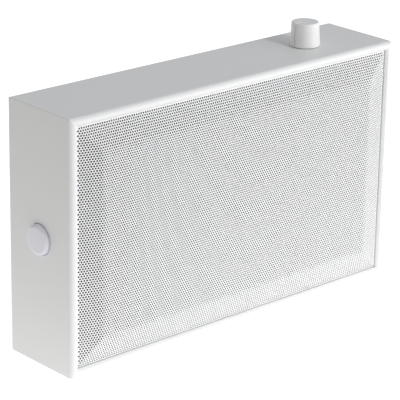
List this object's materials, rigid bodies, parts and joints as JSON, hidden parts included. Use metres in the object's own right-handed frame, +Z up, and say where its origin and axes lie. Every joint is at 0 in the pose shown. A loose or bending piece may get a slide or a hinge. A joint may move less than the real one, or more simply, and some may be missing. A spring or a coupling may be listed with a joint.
{
  "type": "wall speaker",
  "caption": "Shallow white wall speaker with a bevelled perforated metal grille, a volume knob on top and a push button on its left end.",
  "frame": {"origin": "middle of the flat underside of the cabinet, halfway between its front and rear edges", "axes": "+X along the width, towards the end without the button; +Y from the grille towards the wall; +Z up"},
  "size_m": [0.3138, 0.0712, 0.2064],
  "materials": {
    "board_white": "white film on board, satin",
    "board_raw": "bare fibre board, matt",
    "back_board": "hard board, smooth brown face",
    "grille_white": "white powder coat, satin",
    "cloth_grey": "woven acoustic cloth",
    "knob_white": "moulded plastic, satin",
    "button_white": "moulded plastic, smooth",
    "zinc_screw": "zinc plated",
    "zinc_sheet": "zinc plated sheet",
    "steel_black": "black lacquered steel",
    "ferrite": "sintered ferrite, matt",
    "grommet_rubber": "moulded rubber, matt",
    "block_plastic": "natural moulded plastic",
    "switch_plastic": "black moulded plastic",
    "cone_paper": "pressed paper pulp",
    "gasket_card": "pressed card",
    "surround_cloth": "doped cloth",
    "spider_cloth": "resin treated cloth",
    "coil_copper": "enamelled copper on paper",
    "winding_tape": "yellow tape",
    "core_steel": "varnished core plates",
    "shaft_metal": "turned",
    "brass_nut": "plated"
  },
  "bodies": {
    "case": {"cabinet": "board_white", "corner_blocks": "board_raw", "baffle": "board_raw", "grille": "grille_white", "grille_screws": "zinc_screw", "acoustic_cloth": "cloth_grey", "back_panel": "back_board", "back_panel_screws": "zinc_screw", "keyhole_plates": "zinc_sheet", "keyhole_screws": "zinc_screw", "cable_grommet": "grommet_rubber", "terminal_block": "block_plastic", "terminal_screws": "zinc_screw", "driver_basket": "steel_black", "driver_gasket": "gasket_card", "driver_screws": "zinc_screw", "surround": "surround_cloth", "spider": "spider_cloth", "top_plate": "zinc_sheet", "ring_magnet": "ferrite", "pole_piece": "zinc_sheet", "transformer_core": "core_steel", "transformer_winding": "winding_tape", "transformer_frame": "zinc_sheet", "transformer_screws": "zinc_screw", "volume_control": "zinc_sheet", "control_washer": "zinc_sheet", "control_nut": "brass_nut", "button_spring": "zinc_screw", "switch_body": "switch_plastic", "switch_bracket": "zinc_sheet", "bracket_screws": "zinc_screw"},
    "knob": {"volume_knob": "knob_white", "control_shaft": "shaft_metal"},
    "button": {"button_cap": "button_white"},
    "diaphragm": {"cone": "cone_paper", "dust_cap": "cone_paper", "voice_coil": "coil_copper"}
  },
  "joints": [
    {"name": "volume_turn", "type": "hinge", "parent": "case", "child": "knob", "pos_m": [0.095, 0.00025, 0.188], "axis": [0, 0, 1], "range_deg": [-243, 57]},
    {"name": "button_press", "type": "slide", "parent": "case", "child": "button", "axis": [1, 0, 0], "range_m": [0, 0.002], "stiffness_N_per_m": 400, "springref_m": -0.004, "deforming": ["button_spring"]},
    {"name": "cone_stroke", "type": "slide", "parent": "case", "child": "diaphragm", "axis": [0, 1, 0], "range_m": [-0.002, 0.002], "stiffness_N_per_m": 1200, "deforming": ["surround", "spider"]}
  ]
}
